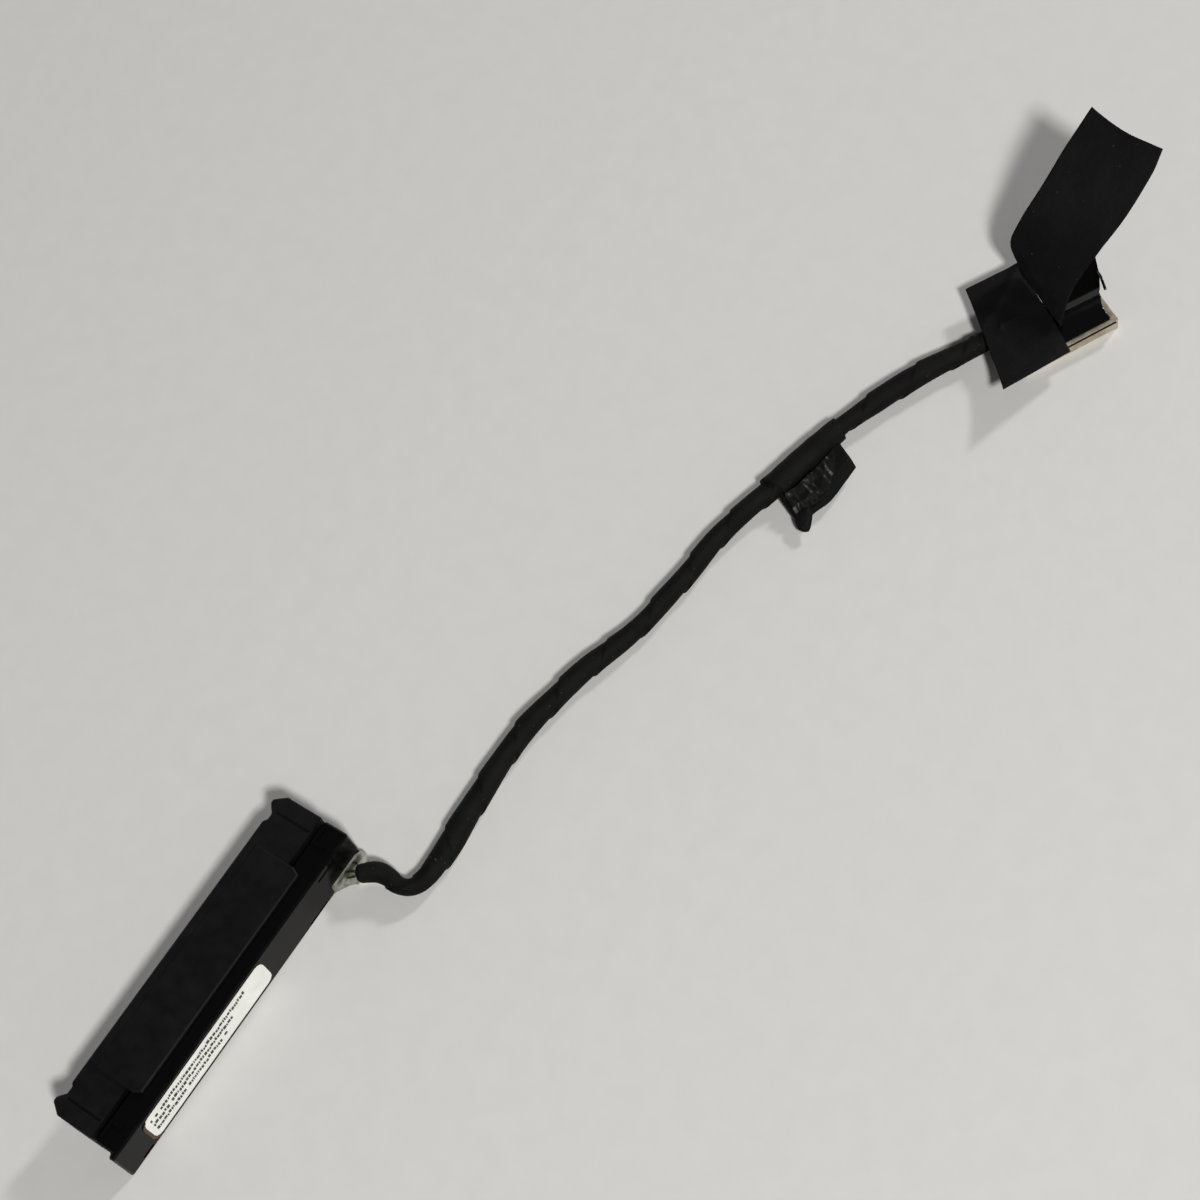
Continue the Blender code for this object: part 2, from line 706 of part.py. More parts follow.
def pin_places():
    """Centres of the plug's contacts along it."""
    first = -(PLUG_CIRCUITS - 1) * PLUG_PITCH / 2
    return contact_places(first, PLUG_CIRCUITS, PLUG_PITCH)


def insulator_box():
    """Low and high corner of the plug's insulator, inside its shell."""
    inset = SHELL_THICKNESS + FORMED_GAP
    low = (inset - SHELL_LENGTH / 2, SHELL_FRONT_Y + inset, 0)
    high = (SHELL_LENGTH / 2 - inset, SHELL_FRONT_Y + SHELL_DEPTH - inset, SHELL_HEIGHT - inset)
    return low, high


def make_insulator(finish, frame):
    """The plug's insulator, with the mating recess in its underside."""
    low, high = insulator_box()
    body = box_mesh("plug_insulator", [(low, high)])
    insulator = link_piece("plug_insulator", body, finish, frame)
    recess_front = low[1] + RECESS_FRONT_WALL
    recess = box_mesh("plug_recess", [(
        (-RECESS_LENGTH / 2, recess_front, -CUT_MARGIN),
        (RECESS_LENGTH / 2, recess_front + RECESS_DEPTH, RECESS_HEIGHT),
    )])
    combine(insulator, link_cutter("plug_recess", recess, frame), "DIFFERENCE")
    half_x = PIN_WIDTH / 2 + FORMED_GAP
    half_z = PIN_THICKNESS / 2 + FORMED_GAP
    wall_y = recess_front + RECESS_DEPTH - JOIN_OVERLAP
    holes = [(
        (x - half_x, wall_y, PIN_HEIGHT - half_z),
        (x + half_x, high[1] + CUT_MARGIN, PIN_HEIGHT + half_z),
    ) for x in pin_places()]
    combine(insulator, link_cutter("pin_holes", box_mesh("pin_holes", holes), frame), "DIFFERENCE")
    return insulator


def pin_line():
    """Middle line of a plug contact, from the recess to its tail."""
    low, high = insulator_box()
    front = low[1] + RECESS_FRONT_WALL + MOULDED_GAP
    wall = low[1] + RECESS_FRONT_WALL + RECESS_DEPTH
    return [
        (front, PIN_HEIGHT),
        ((front + wall) / 2, PIN_HEIGHT - PIN_DROP),
        (wall - MOULDED_GAP, PIN_HEIGHT),
        (high[1] + PIN_TAIL, PIN_HEIGHT),
    ]


def make_pins(finish, frame):
    """The plug's contacts."""
    curve = outline_curve("pin_strip", strip_outline(pin_line(), PIN_THICKNESS), PIN_WIDTH / 2)
    upright = Matrix(((0, 0, 1), (1, 0, 0), (0, 1, 0))).to_euler()
    for number, place in enumerate(pin_places(), 1):
        pin = link_piece(f"plug_contact_{number}", curve, None, frame)
        pin.rotation_euler = upright
        pin.location.x = place
    curve.materials.append(finish)


def make_wires(finish, frame, start):
    """Wires that leave the bundle in two layers and turn into the contacts."""
    lanes = PLUG_CIRCUITS // 2
    end_y = pin_line()[-1][0] + FORMED_GAP
    for index, place in enumerate(pin_places()):
        lane_y = start.y + (index // 2 - (lanes - 1) / 2) * LANE_PITCH
        layer_z = start.z + (index % 2 - 0.5) * LAYER_PITCH
        points = [
            (start.x + MOULDED_GAP, lane_y, layer_z),
            (place - WIRE_CORNER, lane_y, layer_z),
            (place - WIRE_CORNER / 4, lane_y - WIRE_CORNER / 3, layer_z),
            (place, lane_y - WIRE_CORNER, layer_z),
            (place, (lane_y - WIRE_CORNER + end_y) / 2, (layer_z + PIN_HEIGHT) / 2),
            (place, end_y, PIN_HEIGHT),
        ]
        name = f"plug_wire_{index + 1}"
        link_piece(name, tube_curve(name, points, WIRE_DIAMETER / 2), finish, frame)


def make_shell(finish, frame):
    """The plug's metal cap: a roof, a full front wall and short side skirts."""
    half = SHELL_LENGTH / 2
    rear_y = SHELL_FRONT_Y + SHELL_DEPTH
    body = box_mesh("plug_shell", [((-half, SHELL_FRONT_Y, 0), (half, rear_y, SHELL_HEIGHT))])
    shell = link_piece("plug_shell", body, finish, frame)
    round_edges(shell, SHELL_BEVEL)
    inner = half - SHELL_THICKNESS
    hollow = box_mesh("shell_hollow", [(
        (-inner, SHELL_FRONT_Y + SHELL_THICKNESS, -CUT_MARGIN),
        (inner, rear_y + CUT_MARGIN, SHELL_HEIGHT - SHELL_THICKNESS),
    )])
    combine(shell, link_cutter("shell_hollow", hollow, frame), "DIFFERENCE")
    skirt_y = SHELL_FRONT_Y + SHELL_SKIRT
    trims = [(
        (min(side * inner, side * (half + CUT_MARGIN)) - JOIN_OVERLAP, skirt_y, -CUT_MARGIN),
        (max(side * inner, side * (half + CUT_MARGIN)) + JOIN_OVERLAP, rear_y + CUT_MARGIN,
         SHELL_HEIGHT - SHELL_THICKNESS - SHELL_BEVEL),
    ) for side in (-1, 1)]
    combine(shell, link_cutter("skirt_trims", box_mesh("skirt_trims", trims), frame), "DIFFERENCE")
    return shell


def make_sheets(acetate, glossy, frame):
    """The film over shell and wires, the tape flag over both, and the raised pull tab."""
    for name, rows, along, thickness, finish in (
        ("plug_film", FILM_ROWS, 14, FILM_THICKNESS, glossy),
        ("board_tape", TAPE_ROWS, 12, TAPE_THICKNESS, acetate),
        ("pull_tab", TAB_ROWS, 14, TAPE_THICKNESS, acetate),
    ):
        sheet = link_piece(name, sheet_mesh(name, rows, 6, along), finish, frame)
        thicken(sheet, thickness)


def make_plug_frame():
    """The empty that carries the board plug."""
    frame = bpy.data.objects.new("plug_frame", None)
    bpy.data.collections[PART_COLLECTION].objects.link(frame)
    frame.location = (*PLUG_CENTRE, 0)
    frame.rotation_euler.z = math.radians(PLUG_TURN)
    return frame


def main():
    """Build the cable."""
    clear_scene()
    new_collection(PART_COLLECTION)
    new_collection(CUTTER_COLLECTION)
    moulded = material("moulded_black", (0.008, 0.008, 0.009), 0.55)
    glossy = material("glossy_black", (0.010, 0.010, 0.010), 0.22)
    cloth = material("cloth_tape", (0.009, 0.009, 0.010), 0.80)
    acetate = material("acetate_tape", (0.008, 0.008, 0.009), 0.60)
    spring = material("contact_gold", (0.80, 0.55, 0.22), 0.30, 1.0)
    nickel = material("shell_nickel", (0.55, 0.50, 0.42), 0.28, 1.0)
    milky = material("milky_glue", (0.45, 0.45, 0.40), 0.40)
    paper = material("label_paper", (0.80, 0.80, 0.78), 0.65)
    amber = material("amber_film", (0.40, 0.16, 0.03), 0.35)
    wire = material("wire_jacket", (0.012, 0.012, 0.012), 0.45)

    route = smooth_curve([Vector(point) * MM for point in CABLE_ROUTE], ROUTE_STEPS)
    make_housing(moulded)
    make_contacts(spring)
    make_cover(glossy)
    make_glue(milky, route)
    make_stickers(paper, amber)
    link_piece("cable_sleeve", tube_curve("cable_sleeve", route, CABLE_DIAMETER / 2), cloth)
    make_mid_flag(cloth, route)

    frame = make_plug_frame()
    bpy.context.view_layer.update()
    start = frame.matrix_world.inverted() @ route[-1]
    make_insulator(moulded, frame)
    make_pins(spring, frame)
    make_wires(wire, frame, start)
    make_shell(nickel, frame)
    make_sheets(acetate, glossy, frame)


main()
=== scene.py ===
"""Looks of a laptop's hard drive cable that lies on a pale table.

The drive receptacle with its glossy rear cover is at the left, the taped wire
bundle with its tape flag in the middle, and the board plug with its tape and
pull tab at the right. Lengths in the tables below are millimetres.
"""

import math
import random

import bmesh
import bpy
from mathutils import Matrix, Vector, noise


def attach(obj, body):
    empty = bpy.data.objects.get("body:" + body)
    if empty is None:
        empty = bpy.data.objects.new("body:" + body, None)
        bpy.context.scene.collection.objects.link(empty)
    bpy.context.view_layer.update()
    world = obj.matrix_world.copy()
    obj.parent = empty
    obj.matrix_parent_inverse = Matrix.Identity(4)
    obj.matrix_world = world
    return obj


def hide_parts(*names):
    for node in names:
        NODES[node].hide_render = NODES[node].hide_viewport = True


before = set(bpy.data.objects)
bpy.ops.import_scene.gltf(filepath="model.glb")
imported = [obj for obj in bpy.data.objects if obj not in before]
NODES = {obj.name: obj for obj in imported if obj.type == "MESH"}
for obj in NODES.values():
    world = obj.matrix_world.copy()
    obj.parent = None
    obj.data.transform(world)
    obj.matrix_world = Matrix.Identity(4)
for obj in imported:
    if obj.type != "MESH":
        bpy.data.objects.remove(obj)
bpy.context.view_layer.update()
MM = 0.001

# Camera of the photograph
CAMERA_PLACE = (-24.05, -123.43, 264.54)
CAMERA_TARGET = (60.07, -10.71, 0.0)
CAMERA_ROLL = -0.374
CAMERA_LENS = 78.44
SENSOR_WIDTH = 36.0
NEAREST_SEEN = 10.0
FARTHEST_SEEN = 20000.0

# Wire bundle: x, y, z of its centre and its width
CABLE_ROUTE = (
    (18.02, -6.72, 2.30, 2.00),
    (18.75, -7.52, 2.24, 2.15),
    (19.60, -8.66, 2.02, 2.35),
    (19.80, -9.92, 1.75, 2.20),
    (19.72, -11.26, 1.60, 2.00),
    (20.06, -12.32, 1.50, 2.00),
    (20.84, -13.03, 1.38, 2.10),
    (22.00, -13.40, 1.32, 2.25),
    (23.40, -13.50, 1.30, 2.50),
    (26.50, -13.42, 1.32, 2.90),
    (31.50, -13.10, 1.40, 2.75),
    (37.00, -12.88, 1.50, 2.55),
    (42.00, -13.00, 1.55, 2.60),
    (47.40, -13.85, 1.50, 2.45),
    (52.60, -15.05, 1.45, 2.60),
    (57.80, -16.85, 1.42, 2.30),
    (63.00, -17.80, 1.45, 2.35),
    (68.50, -18.45, 1.50, 2.30),
    (73.50, -18.90, 1.55, 2.40),
    (78.00, -20.00, 1.60, 2.50),
    (82.50, -21.30, 1.62, 2.60),
    (87.50, -22.50, 1.62, 2.50),
    (92.50, -23.80, 1.60, 2.10),
    (97.00, -25.50, 1.50, 2.55),
    (101.50, -27.40, 1.35, 2.70),
    (106.00, -29.95, 1.32, 2.50),
    (109.40, -32.00, 1.32, 2.35),
    (110.63, -32.78, 1.32, 2.30),
)
CABLE_DIAMETER = 2.4
CABLE_STEPS = 24
CABLE_SIDES = 36
TIGHT_BEND_END = 12.0
LEAST_HALF_WIDTH = 0.92
END_ROUNDING = 0.8
END_LEAST_SHARE = 0.35
FLOOR_GAP = 0.03
LOWEST = 0.02
TAPE_PITCH = 7.0
TAPE_STEP = 0.2
TAPE_PHASE = 0.35
LUMP_SIZE = 5.0
LUMP_HEIGHT = 0.09

# Piece of tape round the bundle, and the flag that its ends make
WRAP_FROM = 80.6
WRAP_TO = 91.8
WRAP_LIFT = 0.34
WRAP_LIFT_SHARE_ON_TOP = 0.8
WRAP_CREASE = 0.07
WRAP_CREASE_LENGTH = 1.6
WRAP_CREASES_ROUND = 3
WRAP_FLAT = (10.0, 11.0)
WRAP_SKEW_START = 1.1
WRAP_SKEW_END = -0.55
FLAG_ROWS = (
    ((80.88, -22.02, 1.50), (83.58, -22.68, 1.50), (86.85, -23.67, 1.50), (90.13, -24.44, 1.50)),
    ((80.02, -23.68, 1.40), (82.55, -24.33, 1.45), (85.33, -25.41, 1.50), (89.29, -26.09, 1.50)),
    ((79.38, -25.18, 1.20), (81.62, -26.03, 1.30), (84.30, -26.61, 1.45), (88.82, -27.00, 1.45)),
    ((79.37, -26.28, 1.00), (81.39, -26.82, 1.10), (83.54, -27.62, 1.30), (88.35, -27.82, 1.35)),
)
FILM_ROWS = (
    ((81.12, -22.79, 2.20), (83.07, -23.55, 2.30), (85.87, -24.15, 2.30), (88.86, -24.52, 2.20)),
    ((80.54, -23.63, 1.90), (82.01, -24.85, 2.00), (84.19, -25.29, 2.05), (86.97, -25.83, 2.00)),
    ((80.01, -24.61, 1.65), (81.39, -25.44, 1.75), (83.24, -26.09, 1.90), (85.39, -26.42, 1.90)),
    ((79.51, -25.51, 1.40), (80.94, -25.88, 1.55), (82.59, -26.59, 1.70), (84.01, -26.93, 1.80)),
)
TIP_ROWS = (
    ((79.50, -25.02, 1.45), (80.32, -25.42, 1.60), (81.03, -25.84, 1.70), (81.02, -26.58, 1.50)),
    ((78.91, -25.55, 1.30), (79.50, -26.05, 1.60), (79.92, -26.58, 1.70), (80.13, -26.99, 1.40)),
    ((78.54, -26.08, 1.10), (78.72, -26.58, 1.35), (78.95, -27.04, 1.40), (79.33, -27.30, 1.20)),
    ((78.50, -26.40, 0.90), (78.52, -26.70, 0.90), (78.66, -27.05, 0.90), (78.86, -27.33, 0.90)),
)

# Height and size of the flag's fine crinkle as shares of its coarse one, and its sheets
FINE_CRINKLE = 0.4
FINE_CRINKLE_SIZE = 1 / 2.7
FLAG_THICKNESS = 0.18
FLAG_FLAT = (9.0, 4.5)
TIP_FLAT = (1.8, 2.0)
FILM_THICKNESS = 0.06
FILM_FLAT = (8.0, 3.5)

# Creases of the flag's film: direction in radians, distance apart, height
FILM_CREASES = ((2.3, 2.3, 0.08), (1.2, 1.6, 0.045), (0.2, 3.4, 0.06), (2.8, 0.8, 0.025))
FILM_WARP = 0.35
FILM_WARP_LENGTH = 1.5
FILM_GRAIN = 0.03
FILM_GRAIN_LENGTH = 0.7

# Board plug, in its own frame: x along the plug, y to its rear, z up
PLUG_CENTRE = (115.0, -39.3)
PLUG_TURN = -29.5
PLUG_CIRCUITS = 8
TAPE_ROWS = (
    ((-10.26, -4.60, 4.20), (-0.78, -3.35, 2.33)),
    ((-9.45, -2.00, 3.30), (-0.60, -1.50, 2.40)),
    ((-8.81, 0.67, 2.75), (-0.40, 0.80, 2.62)),
    ((-8.30, 3.00, 2.86), (-0.30, 3.00, 2.62)),
    ((-7.75, 5.50, 2.90), (-0.15, 5.50, 2.62)),
    ((-7.20, 8.00, 2.80), (0.05, 8.00, 2.72)),
    ((-6.80, 10.10, 2.90), (0.20, 9.90, 2.90)),
)
TAB_ROWS = (
    ((-0.20, -0.30, 2.98), (-0.25, 8.20, 3.10)),
    ((2.46, 2.30, 3.60), (-0.26, 9.21, 4.20)),
    ((4.62, 3.04, 5.40), (-0.23, 10.75, 6.60)),
    ((7.16, 3.25, 8.20), (1.43, 11.08, 9.60)),
    ((10.97, 3.93, 11.20), (4.68, 12.01, 12.20)),
    ((15.29, 5.63, 13.90), (9.05, 13.85, 14.60)),
    ((17.58, 6.99, 15.60), (13.82, 16.03, 16.00)),
)
TAPE_THICKNESS = 0.18
TAPE_FLAT = (9.2, 13.7)
TAB_FLAT = (10.0, 24.0)
TAB_HOLLOW = 0.55
TAB_HOLLOW_POWER = 6
TAB_HOLLOW_WAY = (0.93, 0.37)

# What shows through the tapes. Ridges: start, end, width, height. Bump: place, radius, height
TAPE_RIDGES = (((0.4, 9.8), (-7.2, 4.9), 0.55, 0.22), ((-5.6, 3.55), (-3.8, 3.67), 0.2, 0.08))
TAPE_BUMP = ((-5.8, 3.54), 0.3, 0.22)
TAB_RIDGE = ((0.4, 9.0), (0.4, 2.0), 0.3, 0.1)
TAPE_WAVE = 0.12
TAPE_WAVE_LENGTH = 2.2
TAB_WAVE = 0.1
TAB_WAVE_LENGTH = 3.0

# Glossy film over the plug, its curled edge, and the shell's front
PLUG_FILM_ROWS = (
    ((-1.20, -1.95, 2.09), (5.45, -1.95, 2.09)),
    ((-1.20, -0.75, 2.09), (5.45, -0.90, 2.09)),
    ((-1.20, 0.50, 2.12), (5.55, 0.20, 2.16)),
    ((-1.20, 1.40, 2.44), (5.90, 1.10, 2.60)),
    ((-1.20, 2.05, 2.28), (6.15, 1.80, 2.38)),
    ((-0.90, 2.80, 2.10), (6.70, 2.55, 2.10)),
    ((1.80, 4.10, 2.08), (7.60, 4.30, 2.05)),
    ((5.20, 6.00, 2.10), (8.40, 6.50, 2.10)),
)
PLUG_FILM_THICKNESS = 0.12
PLUG_FILM_FLAT = (8.0, 8.5)
PLUG_FILM_WAVE = 0.012
PLUG_FILM_WAVE_LENGTH = 1.4
FILM_CURL_LINE = ((7.45, 4.30, 2.20), (7.32, 3.50, 2.50), (7.12, 2.70, 2.58), (6.92, 1.70, 2.25))
FILM_CURL_RADIUS = 0.17
ROOF_LENGTH = 12.44
ROOF_REAR_Y = -1.60
ROOF_FRONT_Y = -2.42
ROOF_LOW = 1.90
ROOF_HIGH = 2.02
# Black bar under the lip: painted shade for the dark bend between the shell's roof and its front
SHADE_STRIP_FRONT_Y = -2.56
SHADE_STRIP_REAR_Y = -2.20
SHADE_STRIP_LOW = 1.72
SHADE_STRIP_INSET = 0.4
BAR_ROUNDING = 0.03

# Label, how much deeper and higher its paper sits than its solid, and the cover's face under it
LABEL_LEFT = -16.8
LABEL_LENGTH = 21.0
LABEL_FACE_Y = -4.96
LABEL_SINK = 0.14
LABEL_RAISE = 0.15
COVER_HEIGHT = 5.45
COVER_LEAN = 0.5

# Print: each row's height and its share of the label, then the sizes of its dashes
PRINT_ROWS = ((4.00, 0.82), (2.98, 0.72), (1.96, 0.62))
PRINT_SEED = 7
PRINT_MARGIN = 0.75
PRINT_DEPTH = 0.03
DASH_WIDTHS = (0.14, 0.46)
DASH_HEIGHTS = (0.5, 0.8)
DASH_RISES = (-0.08, 0.0, 0.08)
DASH_GAPS = (0.08, 0.14)
WORD_GAP = 0.55
WORD_GAP_CHANCE = 0.1

# Rim of the housing's raised plate
PLATE_RIM_LOW = 6.15
PLATE_RIM_ROUNDING = 0.18
RIM_LEAST_ANGLE = 0.5
FLAT_ANGLE = math.radians(1)

# Glue round the wires that leave the cover: x, y, z, half width, half height
GLUE_SPINE = (
    (17.9, -3.6, 0.76, 2.27, 0.73),
    (17.9, -4.7, 0.76, 2.27, 0.73),
    (18.25, -5.2, 0.80, 2.70, 0.78),
    (18.55, -5.9, 1.25, 2.25, 1.10),
    (18.75, -6.6, 1.70, 1.75, 1.25),
    (18.70, -7.2, 2.00, 1.25, 1.05),
)
GLUED_WIRES = (
    ((17.0, -5.3, 1.35), (17.2, -5.9, 1.95), (17.5, -6.5, 2.40), (17.9, -7.1, 2.75)),
    ((17.9, -5.3, 1.55), (18.0, -5.9, 2.24), (18.2, -6.5, 2.80), (18.3, -7.2, 2.95)),
    ((19.2, -5.4, 1.60), (19.2, -5.9, 2.22), (19.1, -6.5, 2.75), (18.9, -7.3, 2.90)),
)
GLUED_WIRE_RADIUS = 0.15
STRAND_STEP = 0.02
GLUE_FLAT = (14.0, 4.0)
GLUE_SQUARENESS = 0.3
GLUE_ROUGHNESS = 0.26
GLUE_LUMP = 1.1
GLUE_FINE_LUMP = 0.5

# Shares of the glue's spine: where the hole that it fills ends, and from where it is a round lump
GLUE_HOLE_END = 0.35
GLUE_ROUND_FROM = 0.60


def linear(code):
    """Turn an sRGB hex code into linear RGB."""
    parts = [int(code[start:start + 2], 16) / 255 for start in (1, 3, 5)]
    return [part / 12.92 if part <= 0.04045 else ((part + 0.055) / 1.055) ** 2.4 for part in parts]


def metres(point):
    """A point of the millimetre tables in metres."""
    return Vector(point[:3]) * MM


def plug_point(point):
    """A point of the plug's own frame in the part's frame, in metres."""
    turned = Matrix.Rotation(math.radians(PLUG_TURN), 3, "Z") @ Vector(point[:3])
    return (turned + Vector((*PLUG_CENTRE, 0.0))) * MM


def curve_at(points, share):
    """The smooth curve through the points, at a share of the way along it."""
    spans = len(points) - 1
    reach = min(max(share, 0.0), 1.0) * spans
    index = min(int(reach + 1e-9), spans - 1)
    t = reach - index
    start = Vector(points[index])
    end = Vector(points[index + 1])
    before = Vector(points[index - 1]) if index > 0 else 2 * start - end
    after = Vector(points[index + 2]) if index + 2 <= spans else 2 * end - start
    return 0.5 * (
        2 * start
        + (end - before) * t
        + (2 * before - 5 * start + 4 * end - after) * t ** 2
        + (3 * start - before - 3 * end + after) * t ** 3
    )


def surface_at(rows, u, v):
    """The smooth surface through rows of points."""
    return curve_at([curve_at(row, u) for row in rows], v)


def ripple(point, size, seed):
    """Smooth unevenness of a sheet, with features of about this size."""
    return noise.noise(Vector((point.x / size, point.y / size, seed)))


def put(name, data):
    """Put an object with this mesh, camera or lamp into the scene."""
    thing = bpy.data.objects.new(name, data)
    bpy.context.scene.collection.objects.link(thing)
    return thing


def mesh_of(name, shape):
    """Turn a finished shape into a mesh."""
    mesh = bpy.data.meshes.new(name)
    shape.to_mesh(mesh)
    shape.free()
    return mesh


def link(name, mesh, finish, replaced=()):
    """Add a finished piece to the scene and to the part."""
    piece = put(name, mesh)
    mesh.materials.append(finish)
    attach(piece, "root")
    if replaced:
        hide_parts(*replaced)
    return piece


def link_shape(name, shape, finish, replaced=()):
    """Turn a finished shape into a piece."""
    return link(name, mesh_of(name, shape), finish, replaced)


def node_copy(*names):
    """The merged shape of CAD nodes, to be finished more finely or shown as one piece."""
    shape = bmesh.new()
    for name in names:
        node = NODES[name]
        count = len(shape.verts)
        shape.from_mesh(node.data)
        shape.verts.ensure_lookup_table()
        bmesh.ops.transform(shape, matrix=node.matrix_world, verts=shape.verts[count:])
    bmesh.ops.remove_doubles(shape, verts=shape.verts, dist=0.001 * MM)
    return shape


def mapped_grid(name, across, along, size, place, tube=False):
    """A mesh from a flat grid whose points move to place(u, v).

    The UV map holds u and v times the real size in millimetres. A tube is
    merged where its two long edges meet, and its ends are filled.
    """
    shape = bmesh.new()
    bmesh.ops.create_grid(shape, x_segments=across, y_segments=along, size=1.0)
    layer = shape.loops.layers.uv.new("surface")
    for face in shape.faces:
        face.smooth = True
        for loop in face.loops:
            u = (loop.vert.co.x + 1) / 2
            v = (loop.vert.co.y + 1) / 2
            loop[layer].uv = (u * size[0], v * size[1])
    for corner in shape.verts:
        corner.co = place((corner.co.x + 1) / 2, (corner.co.y + 1) / 2)
    if tube:
        bmesh.ops.remove_doubles(shape, verts=shape.verts, dist=0.0005 * MM)
        rims = [edge for edge in shape.edges if edge.is_boundary]
        bmesh.ops.holes_fill(shape, edges=rims, sides=0)
    bmesh.ops.recalc_face_normals(shape, faces=shape.faces)
    return mesh_of(name, shape)


def thicken(piece, thickness):
    """Give a sheet its thickness, half to each side."""
    step = piece.modifiers.new("thickness", "SOLIDIFY")
    step.thickness = thickness * MM
    step.offset = 0.0


# Materials

def add(tree, kind, inputs=None, **settings):
    """Add a node with its settings, its values and its links."""
    node = tree.nodes.new(kind)
    for name, value in settings.items():
        setattr(node, name, value)
    for name, value in (inputs or {}).items():
        if isinstance(value, bpy.types.NodeSocket):
            tree.links.new(value, node.inputs[name])
        else:
            node.inputs[name].default_value = value
    return node


def finish_named(name, colour, roughness, values=None):
    """A material whose shader has these constant values."""
    made = bpy.data.materials.new(name)
    made.use_nodes = True
    shader = made.node_tree.nodes["Principled BSDF"]
    shader.inputs["Base Color"].default_value = (*linear(colour), 1.0)
    shader.inputs["Roughness"].default_value = roughness
    for socket, value in (values or {}).items():
        shader.inputs[socket].default_value = value
    return made, made.node_tree, shader


def grain(tree, coordinate, size, detail=2.0, distortion=0.0):
    """Noise whose features are about size millimetres across."""
    return add(tree, "ShaderNodeTexNoise", {
        "Vector": coordinate,
        "Scale": 1.0 / (size * MM),
        "Detail": detail,
        "Distortion": distortion,
    })


def vary(tree, shader, source, low_colour, high_colour, low=0.35, high=0.65):
    """Drive the base colour between two hex colours by a texture."""
    ramp = add(tree, "ShaderNodeValToRGB", {"Fac": source})
    ramp.color_ramp.elements[0].position = low
    ramp.color_ramp.elements[0].color = (*linear(low_colour), 1.0)
    ramp.color_ramp.elements[1].position = high
    ramp.color_ramp.elements[1].color = (*linear(high_colour), 1.0)
    tree.links.new(ramp.outputs["Color"], shader.inputs["Base Color"])
    return ramp


def vary_roughness(tree, shader, source, low, high):
    """Drive the roughness between two values by a texture."""
    spread = add(tree, "ShaderNodeMapRange", {
        "Value": source,
        "From Min": 0.3,
        "From Max": 0.7,
        "To Min": low,
        "To Max": high,
    })
    tree.links.new(spread.outputs["Result"], shader.inputs["Roughness"])


def emboss(tree, shader, height, depth, before=None):
    """Bump the surface by a height map whose full range is depth millimetres."""
    inputs = {"Height": height, "Distance": depth * MM, "Strength": 1.0}
    if before is not None:
        inputs["Normal"] = before.outputs["Normal"]
    bump = add(tree, "ShaderNodeBump", inputs)
    tree.links.new(bump.outputs["Normal"], shader.inputs["Normal"])
    return bump


def moulded_nylon():
    """Glass-filled nylon, moulded: near black, satin, with a fine grain."""
    made, tree, shader = finish_named("moulded_nylon_black", "#0A0A0C", 0.5, {"Specular IOR Level": 0.2})
    place = add(tree, "ShaderNodeTexCoord").outputs["Object"]
    cloud = grain(tree, place, 4.0, 3.0)
    vary(tree, shader, cloud.outputs["Fac"], "#08080A", "#0D0D0F")
    vary_roughness(tree, shader, grain(tree, place, 1.5, 3.0).outputs["Fac"], 0.44, 0.58)
    emboss(tree, shader, grain(tree, place, 0.12, 3.0).outputs["Fac"], 0.006)
    return made


def polished_abs():
    """ABS from a polished mould: black with sharp reflections and faint smears."""
    made, tree, shader = finish_named("polished_abs_black", "#080808", 0.16, {"Specular IOR Level": 0.18})
    place = add(tree, "ShaderNodeTexCoord").outputs["Object"]
    vary_roughness(tree, shader, grain(tree, place, 3.0, 4.0).outputs["Fac"], 0.10, 0.22)
    emboss(tree, shader, grain(tree, place, 2.5, 1.0).outputs["Fac"], 0.01)
    return made


def woven(tree, coordinate, pitch):
    """Height of a plain weave, from a UV map in millimetres."""
    turn = 2 * math.pi / pitch
    split = add(tree, "ShaderNodeSeparateXYZ", {"Vector": coordinate})
    waves = []
    for axis in ("X", "Y"):
        angle = add(tree, "ShaderNodeMath", {0: split.outputs[axis], 1: turn}, operation="MULTIPLY")
        wave = add(tree, "ShaderNodeMath", {0: angle.outputs[0]}, operation="SINE")
        waves.append(wave.outputs[0])
    crossed = add(tree, "ShaderNodeMath", {0: waves[0], 1: waves[1]}, operation="MULTIPLY")
    half = add(tree, "ShaderNodeMath", {0: crossed.outputs[0], 1: 0.5, 2: 0.5}, operation="MULTIPLY_ADD")
    return half.outputs[0]


def cloth_tape(name, colour, dark, light, pitch, depth, roughness, fleck):
    """Woven cloth tape: dull black threads, with a few bright lint flecks."""
    made, tree, shader = finish_named(name, colour, roughness, {
        "Specular IOR Level": 0.1,
        "Sheen Weight": 0.004,
        "Sheen Roughness": 0.5,
    })
    source = add(tree, "ShaderNodeTexCoord")
    threads = woven(tree, source.outputs["UV"], pitch)
    cloud = grain(tree, source.outputs["Object"], 3.0, 4.0)
    ramp = vary(tree, shader, cloud.outputs["Fac"], dark, light)
    lint = grain(tree, source.outputs["Object"], 0.45, 2.0)
    spots = add(tree, "ShaderNodeMapRange", {
        "Value": lint.outputs["Fac"], "From Min": 0.72, "From Max": 0.78, "To Min": 0.0, "To Max": fleck,
    })
    mixed = add(tree, "ShaderNodeMix", {
        "Factor": spots.outputs["Result"], "A": ramp.outputs["Color"], "B": (*linear("#6a6a68"), 1.0),
    }, data_type="RGBA")
    tree.links.new(mixed.outputs["Result"], shader.inputs["Base Color"])
    first = emboss(tree, shader, grain(tree, source.outputs["Object"], 0.8, 3.0).outputs["Fac"], 0.05)
    emboss(tree, shader, threads, depth, first)
    return made


def polyester_film(name, colour, roughness, crinkle, shine):
    """Black polyester film: thin and glossy, with fine creases."""
    made, tree, shader = finish_named(name, colour, roughness, {"Specular IOR Level": shine})
    place = add(tree, "ShaderNodeTexCoord").outputs["Object"]
    emboss(tree, shader, grain(tree, place, 0.9, 4.0, 0.6).outputs["Fac"], crinkle)
    return made


